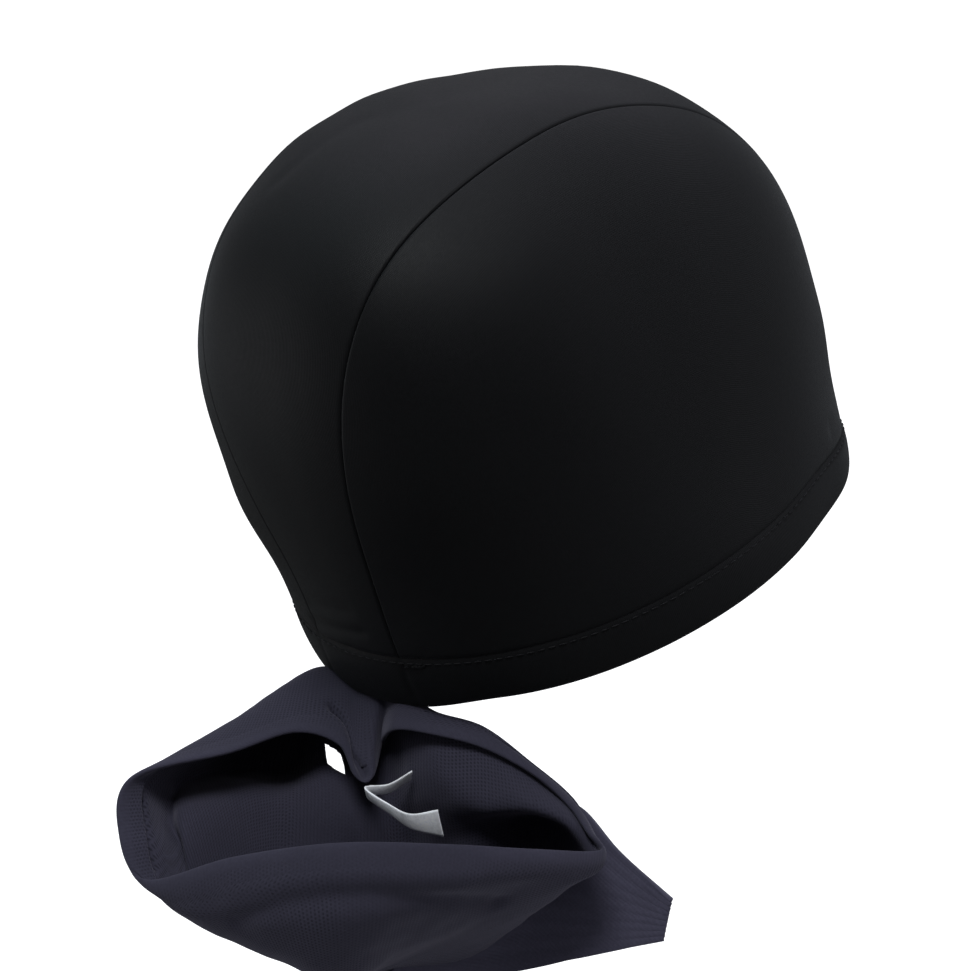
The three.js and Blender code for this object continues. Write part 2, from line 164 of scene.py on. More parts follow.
# Tension creases of the cap: start and end as degrees down and degrees of turn, then depth and half width
CREASES = (
    ("strip beside left seam", (7.7, 52.5), (18.0, 25.3), 0.55, 3.0),
    ("nape over the hem", (74.5, -5.0), (76.0, 13.0), 0.35, 1.8),
    ("nape at the hem", (79.5, 0.0), (81.0, 16.0), 0.3, 1.6),
    ("nape above", (70.0, -3.0), (71.5, 10.0), 0.25, 2.4),
    ("forehead over the hem", (81.0, -147.0), (77.5, -136.0), 0.5, 2.6),
)

# Swells of the worn cloth: degrees down, degrees of turn, height, reach
SWELLS = (
    (17.0, 66.0, 2.2, 17.0),
    (14.6, 96.0, 0.9, 9.0),
    (33.5, 35.0, -1.5, 18.0),
    (16.6, 140.0, -1.0, 11.0),
    (22.0, -176.0, 2.2, 15.0),
    (28.5, -163.0, 1.7, 15.0),
    (66.0, -151.0, 1.0, 13.0),
    (88.0, -144.0, 1.9, 17.0),
    (91.0, -134.0, 1.3, 12.0),
    (59.5, 26.8, 2.5, 15.0),
    (90.0, -70.0, -0.9, 28.0),
)

# Pouch: wall, hem round the mouth and how far the cloth reaches under it, length over which the cloth's waves
# begin, and the turn of the pouch's width from the wearer's X axis
POUCH_WALL = 1.0
POUCH_HEM_WIDTH, POUCH_HEM_OVERLAP = 8.0, 2.5
WAVE_FADE = 12
POUCH_TURN = math.radians(-132.0)
ACROSS = np.array((math.cos(POUCH_TURN), math.sin(POUCH_TURN), 0.0))
OUT = np.array((math.sin(POUCH_TURN), -math.cos(POUCH_TURN), 0.0))


def spot(across, out, up):
    """Point of the pouch: across its width, out from the neck, and up."""
    return across * ACROSS + out * OUT + np.array((0.0, 0.0, up))


def spots(table):
    """Points of a table whose rows are a name and places of the pouch."""
    return np.array([[spot(*place) for place in places] for _name, *places in table])


# Sections round the mouth from the tip at the right over the nape to the left end and back along the near
# lip: lip, ridge, hollow, wall and foot, each across, out and up
SECTIONS = (
    ("right tip", (9, 88, -61), (9, 89, -64), (7, 90, -67), (1, 91, -70), (-14, 89, -80)),
    ("right edge", (5.5, 83, -57.5), (7.5, 80, -60), (6.5, 83, -64.5), (1, 69, -69), (-14, 80, -85)),
    ("right notch", (0.5, 77, -52), (1, 70.5, -52), (0, 80, -56.5), (-3, 62.5, -64), (-17, 75, -89)),
    ("right slope", (-9, 74.5, -44), (-10, 69, -43), (-10, 79, -52.5), (-10, 62, -62), (-20, 71, -93)),
    ("right wall", (-23, 71, -37.5), (-23, 65, -34.2), (-23, 76, -52), (-23, 68, -63), (-28, 72, -94)),
    ("right of pleat", (-37, 68, -34.5), (-36.5, 59.5, -31.2), (-35, 70, -48), (-35, 62, -70), (-37, 65, -97)),
    ("pleat roll", (-47.5, 62.5, -35), (-44.5, 50.5, -27.5), (-42.5, 62, -47), (-43, 57, -70), (-44, 64, -97)),
    ("pleat gap", (-51.8, 52, -43), (-49.5, 46, -28), (-49, 50, -48), (-50, 59, -67), (-50, 63, -97)),
    ("pleat tongue", (-53.8, 65.5, -48.3), (-54, 42, -28), (-55, 46, -47), (-55, 60, -64), (-55, 63, -97)),
    ("pleat edge", (-58.2, 65, -47.6), (-58.5, 37, -28), (-60, 44, -45), (-60, 60, -61), (-60, 64, -96)),
    ("left of pleat", (-63, 59.5, -40), (-62.5, 33, -27), (-67, 42, -44), (-67, 60, -58), (-66, 74, -95)),
    ("left shoulder", (-75, 61, -36), (-72, 30.5, -27), (-77, 36, -53), (-77, 62, -57), (-75, 78, -92)),
    ("left awning", (-92, 73.5, -38), (-92, 52, -35.5), (-91, 38, -54), (-89, 67, -54), (-84, 84, -89)),
    ("left corner", (-118, 84.5, -42), (-113, 74, -44.5), (-107, 60, -52), (-104, 82, -56.5), (-93, 90, -84)),
    ("left end", (-120.7, 93, -55), (-114.5, 91.5, -57.5), (-109, 87, -60.5), (-103, 84, -65), (-95, 92, -82)),
    ("near left", (-113, 101, -65), (-112, 102, -67), (-109, 103, -69), (-104, 103, -73.5), (-90, 101, -82)),
    ("near", (-88, 112, -55), (-88, 114, -58), (-87, 116, -64), (-85, 115, -73), (-74.5, 105, -87.5)),
    ("near middle", (-60, 117, -49.5), (-60, 119.5, -53), (-60, 122, -60), (-60, 121, -73), (-60, 107, -93)),
    ("near right", (-32, 112, -51.5), (-32, 114, -55), (-33, 116, -60), (-37, 113, -69), (-46, 101, -86)),
    ("near tip", (-8, 101, -56.5), (-8, 103, -59), (-10, 104, -63), (-16, 102, -68), (-28, 95, -81)),
)
FLOOR = spot(-55, 85, -98)
LEVELS, LINE_STEPS = 5, 60

# Rows of cells from each level to the next, and how far the level lies past the start at least
BODY_ROWS = ((36, 0.0), (20, 4.0), (20, 8.0), (18, 12.0), (10, 16.0))
POUCH_COLUMNS = 400

# Places in sections where the cloth's threads run straight down; its width is counted from the first
STRAIGHT_PLACES = (17.2, 4.2, 8.5, 11.2)

# Outline of the pouch's turned hem: length from the lip and lift; its normals are worked out on an even grid
POUCH_HEM_OUTLINE = np.array((
    (8.1, 0.42), (7.0, 0.58), (5.0, 0.72), (2.8, 0.78), (1.2, 0.72), (0.35, 0.45), (0.0, 0.0), (0.35, -0.5),
    (1.2, -0.85), (2.8, -1.0), (5.0, -1.1), (7.0, -1.3), (7.8, -1.35), (8.15, -0.9), (8.2, 0.0), (8.1, 0.42),
))
POUCH_HEM_STEP, POUCH_HEM_STEPS = 0.6, 14
POUCH_HEM_MIDDLE = 340

# Metres from a turned edge at which the eyelets begin to show and at which they are clear
TURNED_EDGE = 0.0025, 0.005

# Slit beside the pleat: middle, height, width, lean, backward tilt, depth of the cut, roundness of its ends,
# and between which shares of its size an open edge of the cloth is drawn to its outline
SLIT_MIDDLE = spot(-65, 44, -48.5)
SLIT_HEIGHT, SLIT_WIDTH, SLIT_LEAN, SLIT_TILT = 11.2, 4.6, -36.0, 14.0
SLIT_DEPTH, SLIT_ROUND = 24.0, 1.2
SLIT_EDGE = 0.2, 2.0

# Folds of the pouch's cloth as places in sections from the right tip and millimetres from the lip, then how
# far each stands out (in where it is negative) and its half width
POUCH_FOLDS = (
    ("left of the pleat", ((10.3, 12.5), (9.5, 9.0), (8.9, 5.5), (8.5, 2.6)), -2.7, 1.5),
    ("seam at the left end", ((14.4, 9.3), (13.95, 9.2), (13.4, 9.4)), 1.6, 0.85),
    ("across the near wall", ((15.9, 18.0), (16.5, 15.0), (17.3, 14.5), (18.3, 17.0), (19.0, 21.0)), -1.3, 3.2),
    ("over the near fold", ((15.9, 11.0), (16.5, 9.5), (17.3, 9.0), (18.3, 10.0)), 0.5, 3.5),
)

# Flat doubled tail of the pouch: wall, belly, height of its ribs, how closely they follow each other from top
# to foot and how they slant, both in radians, cells down and along, then top and foot edges from root to end
TAIL_WALL, TAIL_BELLY = 2.4, 0.6
RIB_HEIGHT, RIB_COUNT, RIB_SLANT = 0.07, 55, 1.5
TAIL_CELLS = 60, 120
TAIL = (
    ("root", (-13, 57, -62), (-50, 84, -98.5)),
    ("notch", (1.5, 56.5, -57.7), (-20, 71, -102.8)),
    ("slope", (14, 68, -67.6), (4, 73, -97.2)),
    ("end", (28.7, 75, -79.6), (26.5, 76, -91.3)),
)

# Blank care label, folded once: wall, belly, cells down and along, the pitch of its threads in metres, then top
# and foot edges
LABEL_WALL, LABEL_BELLY = 0.5, 0.3
LABEL_CELLS = 12, 100
RIBBON_PITCH = 0.0004
LABEL = (
    ("short end", (-42.5, 66, -45.5), (-43, 63.5, -48.5)),
    ("short side", (-49, 66, -49.3), (-49, 64, -52.3)),
    ("fold", (-55.5, 66.5, -50.1), (-55, 65, -53.1)),
    ("long side", (-48, 76, -52.3), (-48, 74.5, -55.3)),
    ("flap", (-42.5, 82, -52.8), (-42, 80.5, -57.5)),
    ("long end", (-35, 85, -50.7), (-33.5, 83.5, -58.7)),
)

# Lights: name, direction to the camera's right, up and back, distance, size, power, colour
LIGHTS = (
    ("Overhead", (0.0, 1.0, -0.25), 1.5, 1.6, 6.6, (1.0, 0.97, 1.12)),
    ("Over the nape", (-0.6, 0.9, 0.15), 1.5, 1.4, 3.6, (0.78, 1.0, 1.05)),
    ("Over the forehead", (0.7, 0.8, 0.1), 1.5, 1.4, 5.0, (0.97, 1.0, 1.12)),
    ("Beside the forehead", (1.0, 0.1, 0.2), 1.7, 1.2, 3.3, (0.98, 0.98, 1.06)),
    ("Beside the nape", (-1.0, -0.1, -0.1), 1.6, 1.4, 4.8, (1.0, 1.0, 1.04)),
    ("Over the camera", (-0.1, 0.68, 0.73), 1.6, 0.7, 17.5, (0.97, 1.0, 1.04)),
)


# Shape of the cap


def column_spline(values, place, before):
    """Smooth value of evenly stepped rows at a place counted in rows; the last two rows run straight on."""
    last = len(values) - 1
    rows = np.concatenate(((before,), values, (2 * values[-1] - values[-2],)))
    at = np.clip(place, 0, last - 1e-9)
    row = np.floor(at).astype(int)
    f = at - row
    weights = ((1 - f) ** 3, 3 * f**3 - 6 * f**2 + 4, -3 * f**3 + 3 * f**2 + 3 * f + 1, f**3)
    return sum(weight * rows[row + i] for i, weight in enumerate(weights)) / 6


def skull_distance(down, turn):
    """Distance of the cap's outer face from the middle of the rim; turn is 0 at the nape."""
    place = np.asarray(down) / SKULL_STEP
    back = column_spline(BACK, place, FRONT[1])
    front = column_spline(FRONT, place, BACK[1])
    side = column_spline(SIDE, place, SIDE[1])
    share = (1 + np.cos(turn)) / 2
    long = share * back + (1 - share) * front
    power = 2 + SQUARENESS * np.sin(np.radians(2 * np.minimum(down, 90))) ** 4
    return (np.abs(np.cos(turn) / long) ** power + np.abs(np.sin(turn) / side) ** power) ** (-1 / power)


def skull_point(down, turn, lift=0.0):
    """Point of the cap's outer face in the rim's frame, grown outwards by lift."""
    far = skull_distance(down, turn) + lift
    across = far * np.sin(np.radians(down))
    return np.stack((across * np.sin(turn), across * np.cos(turn), far * np.cos(np.radians(down))), -1)


def down_and_turn(points):
    """Degrees down from the crown and turn in radians of the direction of each point."""
    length = np.linalg.norm(points, axis=-1)
    down = np.degrees(np.arccos(np.clip(points[..., 2] / length, -1, 1)))
    return down, np.arctan2(points[..., 0], points[..., 1])


def on_skull(points, lift=0.0):
    """The outer face in the direction of each point, grown outwards by lift."""
    down, turn = down_and_turn(points)
    return skull_point(down, turn, lift)


def bisect(low, high, passes, shape=()):
    """Halves the interval between values that pass and values that fail, for a whole array at once."""
    inside, outside = np.full(shape, float(low)), np.full(shape, float(high))
    for _ in range(HALVINGS):
        middle = (inside + outside) / 2
        good = passes(middle)
        inside = np.where(good, middle, inside)
        outside = np.where(good, outside, middle)
    return inside


def half_strip(back):
    """Half the crown strip's width at an angle back from the crown."""
    return column_spline(STRIP[:, 1], (np.asarray(back) - STRIP[0, 0]) / STRIP_STEP, STRIP[0, 1])


def beside_middle(x, back):
    """Point of the outer face at a distance x from the middle plane, at the angle back seen from the side."""
    x, back = np.broadcast_arrays(np.asarray(x, float), np.radians(back))

    def direction(far):
        return np.stack((x, far * np.sin(back), far * np.cos(back)), -1)

    def passes(far):
        points = direction(far)
        return np.linalg.norm(points, axis=-1) < np.linalg.norm(on_skull(points), axis=-1)

    return direction(bisect(0, FARTHEST, passes, x.shape))


def hem_angle(share, end, level):
    """Angle back at which a line along the strip comes down to a height; end is 1 at the nape, -1 in front."""
    share = np.asarray(share, float)

    def passes(back):
        return beside_middle(share * half_strip(end * back), end * back)[..., 2] > level

    return end * bisect(0, STRIP_END, passes, share.shape)


def down_at_height(height, turn):
    """Angle down from the crown at which the outer face has a height over the rim."""
    turn = np.asarray(turn, float)
    return bisect(*RIM_SEARCH, lambda down: skull_point(down, turn)[..., 2] > height, turn.shape)


def worn(points):
    """Turns points from the rim's frame to the worn one."""
    tilt = math.radians(-RIM_TILT)
    x, y, z = points[..., 0], points[..., 1], points[..., 2]
    return np.stack((x, y * math.cos(tilt) - z * math.sin(tilt), y * math.sin(tilt) + z * math.cos(tilt)), -1)


def in_frame(points):
    """Worn millimetres to metres in the frame."""
    return (points - SEAT) * MM


def rolled(distance, depth, width):
    """How far the cloth rolls inwards at a distance from an edge."""
    share = np.clip(1 - distance / width, 0, 1)
    return -depth * (1 - np.sqrt(1 - share**2))


def near_line(points, start, end, width):
    """How near each point is to a line between two points, from 0 to 1, fading past its ends."""
    line = end - start
    along = np.clip(((points - start) @ line) / (line @ line), 0, 1)
    apart = np.linalg.norm(points - start - along[..., None] * line, axis=-1)
    return np.exp(-((apart / width) ** 2))


def crowd(count, strength):
    """Places from 0 to 1 that crowd towards both ends."""
    even = np.linspace(-1, 1, count + 1)
    return (np.tanh(strength * even) / math.tanh(strength) + 1) / 2


def waves(points, height, length, seed):
    """Smooth uneven lift at each point."""
    flat = points.reshape(-1, 3) / length + seed
    values = np.array([noise.noise(Vector(point)) for point in flat])
    return height * values.reshape(points.shape[:-1])


def eased(value, start, reach):
    """Smooth rise from 0 to 1 as a value goes from start on over reach."""
    share = np.clip((value - start) / reach, 0, 1)
    return share**2 * (3 - 2 * share)


def swelled(points):
    """Lift of the worn cloth at each point of the cap over its even shape."""
    lift = np.zeros(points.shape[:-1])
    for down, turn, height, reach in SWELLS:
        apart = np.linalg.norm(points - skull_point(down, math.radians(turn)), axis=-1)
        lift = lift + height * np.exp(-((apart / reach) ** 2))
    return lift


def hem_top(turn):
    """Height of the hem's stitch line, which dips towards the forehead."""
    return HEM_HEIGHT - HEM_DIP * eased(np.abs(turn), math.radians(DIP_START), math.radians(DIP_REACH))


def hem_foot(turn):
    """Height of the hem's foot, which hangs a little lower at the nape."""
    apart = np.abs(turn - math.radians(SAG_MIDDLE))
    return -NAPE_SAG * (1 - eased(apart, math.radians(SAG_START), math.radians(SAG_REACH)))


def relief(points):
    """Lift of the cap's outer face at each of its points: swells, seams, stitch line and tension creases."""
    back = np.degrees(np.arctan2(points[..., 1], points[..., 2]))
    turn = np.arctan2(points[..., 0], points[..., 1])
    depth = np.where((points[..., 0] > 0) & (back > LEFT_SEAM_START), LEFT_SEAM, SEAM_DEPTH)
    share = rolled(np.abs(np.abs(points[..., 0]) - half_strip(back)), 1.0, SEAM_WIDTH)
    lift = share * depth
    over_hem = np.maximum(points[..., 2] - hem_top(turn), 0)
    lift = np.minimum(lift, rolled(over_hem, VALLEY_DEPTH, VALLEY_WIDTH))
    for _name, start, end, depth, width in CREASES:
        ends = [skull_point(down, math.radians(turn)) for down, turn in (start, end)]
        lift = lift - depth * near_line(points, ends[0], ends[1], width)
    return lift + swelled(points) + waves(points, *CAP_WAVE)


# Shape of the pouch


def smooth_curve(points, place, closed=False):
    """Point of the smooth curve through points at places counted in points."""
    place = np.asarray(place, float)
    count = len(points)
    row = np.floor(place).astype(int)
    if closed:
        picked = [points[(row + k) % count] for k in (-1, 0, 1, 2)]
    else:
        row = np.clip(row, 0, count - 2)
        ends = np.concatenate((2 * points[:1] - points[1:2], points, 2 * points[-1:] - points[-2:-1]))
        picked = [ends[row + k] for k in (0, 1, 2, 3)]
    p0, p1, p2, p3 = picked
    f = (place - row).reshape(place.shape + (1,) * (p1.ndim - place.ndim))
    t0, t1 = (p2 - p0) / 2, (p3 - p1) / 2
    return p1 + f * t0 + f**2 * (3 * p2 - 3 * p1 - 2 * t0 - t1) + f**3 * (2 * p1 - 2 * p2 + t0 + t1)


def pouch_lines(columns):
    """The cloth's lines from the lip to the middle of the floor, and the lengths along them."""
    place = np.linspace(0, len(SECTIONS), columns + 1)
    sections = spots(SECTIONS)
    rings = [smooth_curve(sections[:, level], place, closed=True) for level in range(LEVELS)]
    rings.append(np.broadcast_to(FLOOR, rings[0].shape))
    lines = smooth_curve(np.array(rings), np.linspace(0, LEVELS, LEVELS * LINE_STEPS + 1))
    steps = np.linalg.norm(np.diff(lines, axis=0), axis=-1)
    lengths = np.concatenate((np.zeros((1, columns + 1)), np.cumsum(steps, axis=0)))
    return lines, lengths


def along_lines(lines, lengths, wanted):
    """Points at the wanted lengths, rows by columns, along the lines."""
    points = np.empty(wanted.shape + (3,))
    for j in range(wanted.shape[1]):
        for axis in range(3):
            points[:, j, axis] = np.interp(wanted[:, j], lengths[:, j], lines[:, j, axis])
    return points


def sheet_normals(points):
    """Outward normals of a grid of cloth whose rows run round the mouth and columns run down."""
    loop = np.concatenate((points[:, -2:-1], points, points[:, 1:2]), axis=1)
    normal = np.cross(np.gradient(points, axis=0), loop[:, 2:] - loop[:, :-2])
    length = np.linalg.norm(normal, axis=-1, keepdims=True)
    return np.where(length > 1e-9, normal / np.maximum(length, 1e-9), (0, 0, -1))


def fold_lift(lines, lengths, wanted):
    """How far the pouch's folds move the cloth outwards at the wanted lengths on each line."""
    columns = wanted.shape[1] - 1
    lip = along_lines(lines, lengths, np.full((1, columns + 1), POUCH_HEM_WIDTH))[0]
    walk = np.concatenate(((0,), np.cumsum(np.linalg.norm(np.diff(lip, axis=0), axis=-1))))
    places = np.linspace(0, len(SECTIONS), columns + 1)
    flat = np.stack((np.broadcast_to(walk, wanted.shape), wanted), -1)
    lift = np.zeros(wanted.shape)
    for _name, route, height, width in POUCH_FOLDS:
        route = np.array([(np.interp(place, places, walk), length) for place, length in route])
        near = [near_line(flat, start, end, width) for start, end in zip(route[:-1], route[1:])]
        lift = lift + height * np.max(near, axis=0)
    return lift


def strap(table, cells):
    """Points of a flat band between a table's top and foot edges, and their shares down and along it."""
    edges = spots(table)
    place = np.linspace(0, len(table) - 1, cells[1] + 1)
    top, foot = smooth_curve(edges[:, 0], place)[None], smooth_curve(edges[:, 1], place)[None]
    down = np.linspace(0, 1, cells[0] + 1)[:, None]
    return top + down[..., None] * (foot - top), down, place[None, :] / (len(table) - 1)


def cloth_places(points, middle, straight=()):
    """Flat places of a grid of cloth in millimetres: round the mouth from a middle column, and down.

    The columns named in straight are kept free of shear, and the shear is spread over the cloth between them.
    """
    round_steps = np.linalg.norm(np.diff(points, axis=1), axis=-1)
    along = np.concatenate((np.zeros((len(points), 1)), np.cumsum(round_steps, axis=1)), axis=1)
    along -= along[:, middle:middle + 1]
    if straight:
        columns = sorted((*straight, middle))
        fixes = along[:, columns].mean(axis=0) - along[:, columns]
        every = np.arange(points.shape[1])
        along += np.array([np.interp(every, columns, row) for row in fixes])
    down_steps = np.linalg.norm(np.diff(points, axis=0), axis=-1)
    down = np.concatenate((np.zeros((1, points.shape[1])), np.cumsum(down_steps, axis=0)))
    return np.stack((along, down), -1)


# Making of meshes


def bent_grid(name, points, cloth):
    """Mesh object of a grid bent to rows and columns of points, with its flat places as its UV map."""
    rows, columns = points.shape[0] - 1, points.shape[1] - 1
    mesh = bmesh.new()
    layer = mesh.loops.layers.uv.new("Cloth")
    bmesh.ops.create_grid(mesh, x_segments=columns, y_segments=rows, size=0.5)
    placed = in_frame(points)
    mesh.verts.index_update()
    cells = []
    for corner in mesh.verts:
        cells.append((round((corner.co.y + 0.5) * rows), round((corner.co.x + 0.5) * columns)))
        corner.co = placed[cells[-1]]
    for face in mesh.faces:
        face.smooth = True
        for loop in face.loops:
            loop[layer].uv = cloth[cells[loop.vert.index]] * MM
    bmesh.ops.remove_doubles(mesh, verts=mesh.verts, dist=MERGE_REACH)
    bmesh.ops.recalc_face_normals(mesh, faces=mesh.faces)
    if outwardness(mesh.faces, placed) < 0:
        bmesh.ops.reverse_faces(mesh, faces=mesh.faces)
    return put_in_scene(name, mesh)


def outwardness(faces, placed):
    """Positive where the faces look away from the middle of the grid's points."""
    centre = Vector(placed.reshape(-1, 3).mean(axis=0))
    return sum(face.normal.dot(face.calc_center_median() - centre) * face.calc_area() for face in faces)


def put_in_scene(name, mesh):
    """Object of a bmesh at the origin of the frame."""
    data = bpy.data.meshes.new(name)
    mesh.to_mesh(data)
    mesh.free()
    piece = bpy.data.objects.new(name, data)
    bpy.context.scene.collection.objects.link(piece)
    return piece


def give_wall(piece, wall, offset=-1.0):
    """Gives a sheet its thickness; the offset of -1 keeps the outer face where it is."""
    solidify = piece.modifiers.new("Wall", "SOLIDIFY")
    solidify.thickness = wall * MM
    solidify.offset = offset
    solidify.use_even_offset = False
    solidify.use_quality_normals = True


def round_off(piece):
    """Rounds a turned hem by one level of subdivision."""
    rounding = piece.modifiers.new("Round", "SUBSURF")
    rounding.levels = rounding.render_levels = 1


def finish_piece(piece, material, node):
    """Gives a piece its finish and its body, and hides the solid that it stands for."""
    piece.data.materials.append(material)
    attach(piece, "root")
    if node:
        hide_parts(node)


# Finishes


def feed(tree, socket, value):
    """Links a socket or sets a number, as the input of another node."""
    if isinstance(value, bpy.types.NodeSocket):
        tree.links.new(value, socket)
    else:
        socket.default_value = value


def value_of(tree, operation, *inputs):
    """Output of a Math node on sockets or numbers."""
    node = tree.nodes.new("ShaderNodeMath")
    node.operation = operation
    for socket, value in zip(node.inputs, inputs):
        feed(tree, socket, value)
    return node.outputs[0]


def ramped(tree, value, low, high, to_low=0.0, to_high=1.0):
    """Smooth step of a value from one range to another."""
    node = tree.nodes.new("ShaderNodeMapRange")
    node.interpolation_type = "SMOOTHSTEP"
    tree.links.new(value, node.inputs["Value"])
    for name, number in (("From Min", low), ("From Max", high), ("To Min", to_low), ("To Max", to_high)):
        node.inputs[name].default_value = number
    return node.outputs["Result"]


def new_group(name, inputs, outputs):
    """Shader node group with named sockets, as (tree, inputs, outputs)."""
    tree = bpy.data.node_groups.new(name, "ShaderNodeTree")
    for label, kind in inputs:
        tree.interface.new_socket(label, in_out="INPUT", socket_type=kind)
    for label, kind in outputs:
        tree.interface.new_socket(label, in_out="OUTPUT", socket_type=kind)
    source = tree.nodes.new("NodeGroupInput")
    target = tree.nodes.new("NodeGroupOutput")
    return tree, source.outputs, target.inputs


def place_group(tree, group, **values):
    """Node of a group in a material, with its inputs linked or set."""
    node = tree.nodes.new("ShaderNodeGroup")
    node.node_tree = group
    for label, value in values.items():
        feed(tree, node.inputs[label], value)
    return node.outputs


def knit_group():
    """Fine jersey knit: slanted loops in columns, from flat places in metres."""
    tree, source, target = new_group(
        "Knit loops",
        (("Cloth", "NodeSocketVector"), ("Pitch", "NodeSocketFloat")),
        (("Height", "NodeSocketFloat"), ("Shade", "NodeSocketFloat")),
    )
    split = tree.nodes.new("ShaderNodeSeparateXYZ")
    tree.links.new(source["Cloth"], split.inputs[0])
    column = value_of(tree, "DIVIDE", split.outputs["X"], source["Pitch"])
    course = value_of(tree, "DIVIDE", split.outputs["Y"], source["Pitch"])
    inside = value_of(tree, "ABSOLUTE", value_of(tree, "SUBTRACT", value_of(tree, "FRACT", column), 0.5))
    slanted = value_of(tree, "MULTIPLY_ADD", inside, 1.2, value_of(tree, "MULTIPLY", course, 1.35))
    loops = value_of(tree, "SINE", value_of(tree, "MULTIPLY", slanted, 2 * math.pi))
    wales = value_of(tree, "COSINE", value_of(tree, "MULTIPLY", column, 2 * math.pi))
    height = value_of(tree, "MULTIPLY_ADD", loops, 0.3, value_of(tree, "MULTIPLY", wales, -0.45))
    tree.links.new(height, target["Height"])
    tree.links.new(ramped(tree, height, -0.75, 0.75, 0.86, 1.1), target["Shade"])
    return tree


def eyelet_group():
    """Eyelet mesh: staggered small holes between ribs, from flat places in metres."""
    tree, source, target = new_group(
        "Eyelet mesh",
        (("Cloth", "NodeSocketVector"), ("Pitch", "NodeSocketFloat"), ("Stagger", "NodeSocketFloat")),
        (("Hole", "NodeSocketFloat"), ("Rib", "NodeSocketFloat")),
    )
    split = tree.nodes.new("ShaderNodeSeparateXYZ")
    tree.links.new(source["Cloth"], split.inputs[0])
    column = value_of(tree, "DIVIDE", split.outputs["X"], source["Pitch"])
    row = value_of(tree, "DIVIDE", split.outputs["Y"], source["Pitch"])
    odd = value_of(tree, "FLOORED_MODULO", value_of(tree, "FLOOR", column), 2.0)
    shifted = value_of(tree, "MULTIPLY_ADD", odd, source["Stagger"], row)
    x = value_of(tree, "SUBTRACT", value_of(tree, "FRACT", column), 0.5)
    y = value_of(tree, "SUBTRACT", value_of(tree, "FRACT", shifted), 0.5)
    apart = value_of(
        tree, "SQRT",
        value_of(tree, "MULTIPLY_ADD", x, x, value_of(tree, "MULTIPLY", value_of(tree, "MULTIPLY", y, y), 0.8)))
    hole = ramped(tree, apart, 0.2, 0.38, 1.0, 0.0)
    rib = value_of(tree, "ABSOLUTE", value_of(tree, "MULTIPLY", x, 2.0))
    tree.links.new(hole, target["Hole"])
    tree.links.new(rib, target["Rib"])
    return tree


def mottle_group():
    """Soft uneven shade of worn cloth over a few centimetres, with finer flecks."""
    tree, source, target = new_group(
        "Cloth mottle",
        (("Place", "NodeSocketVector"), ("Broad", "NodeSocketFloat"), ("Fine", "NodeSocketFloat")),
        (("Shade", "NodeSocketFloat"), ("Fuzz", "NodeSocketFloat")),
    )
    parts = []
    for label, detail in (("Broad", 3.0), ("Fine", 4.0)):
        node = tree.nodes.new("ShaderNodeTexNoise")
        tree.links.new(source["Place"], node.inputs["Vector"])
        tree.links.new(source[label], node.inputs["Scale"])
        node.inputs["Detail"].default_value = detail
        parts.append(node.outputs["Fac"])
    broad = ramped(tree, parts[0], 0.3, 0.7, 0.88, 1.12)
    fine = ramped(tree, parts[1], 0.3, 0.7, 0.93, 1.07)
    tree.links.new(value_of(tree, "MULTIPLY", broad, fine), target["Shade"])
    tree.links.new(parts[1], target["Fuzz"])
    return tree


def shared_group(name, make):
    """A node group by its name, made the first time."""
    return bpy.data.node_groups.get(name) or make()


def mottled(tree, place, broad, fine):
    """Node of the cloth's mottle in a material, with its two scales."""
    return place_group(tree, shared_group("Cloth mottle", mottle_group), Place=place, Broad=broad, Fine=fine)


def cloth_material(name, roughness, sheen, sheen_roughness, specular, tint):
    """Material with a Principled shader of cloth, as (material, tree, shader, UV socket, place socket)."""
    material = bpy.data.materials.new(name)
    material.use_nodes = True
    tree = material.node_tree
    shader = tree.nodes["Principled BSDF"]
    shader.inputs["Roughness"].default_value = roughness
    shader.inputs["Specular IOR Level"].default_value = specular
    shader.inputs["Sheen Weight"].default_value = sheen
    shader.inputs["Sheen Roughness"].default_value = sheen_roughness
    shader.inputs["Sheen Tint"].default_value = (*tint, 1.0)
    cloth = tree.nodes.new("ShaderNodeUVMap")
    cloth.uv_map = "Cloth"
    place = tree.nodes.new("ShaderNodeTexCoord")
    return material, tree, shader, cloth.outputs["UV"], place.outputs["Object"]


def shaded(tree, colour, *shades):
    """Colour times every shade, as a socket."""
    factor = shades[0]
    for shade in shades[1:]:
        factor = value_of(tree, "MULTIPLY", factor, shade)
    node = tree.nodes.new("ShaderNodeVectorMath")
    node.operation = "SCALE"
    node.inputs[0].default_value = colour
    tree.links.new(factor, node.inputs["Scale"])
    return node.outputs["Vector"]


def bumped(tree, shader, height, strength, distance):
    """Bump of a height in the shader's normal."""
    node = tree.nodes.new("ShaderNodeBump")
    node.inputs["Strength"].default_value = strength
    node.inputs["Distance"].default_value = distance
    tree.links.new(height, node.inputs["Height"])
    tree.links.new(node.outputs["Normal"], shader.inputs["Normal"])


def knit_material(settings):
    """Black stretch knit with a faint satin sheen."""
    found = bpy.data.materials.get("Stretch knit")
    if found:
        return found
    material, tree, shader, cloth, place = cloth_material(
        "Stretch knit", roughness=0.55, sheen=0.05, sheen_roughness=0.45, specular=0.12, tint=(0.9, 0.95, 1.0))
    knit = place_group(tree, shared_group("Knit loops", knit_group), Cloth=cloth, Pitch=settings.knit_pitch)
    mottle = mottled(tree, place, 14.0, 900.0)
    colour = shaded(tree, settings.knit_colour, knit["Shade"], mottle["Shade"])
    tree.links.new(colour, shader.inputs["Base Color"])
    tree.links.new(ramped(tree, mottle["Shade"], 0.8, 1.2, 0.5, 0.62), shader.inputs["Roughness"])
    height = value_of(tree, "MULTIPLY_ADD", mottle["Fuzz"], 0.8, knit["Height"])
    bumped(tree, shader, height, strength=0.25, distance=0.00012)
    return material


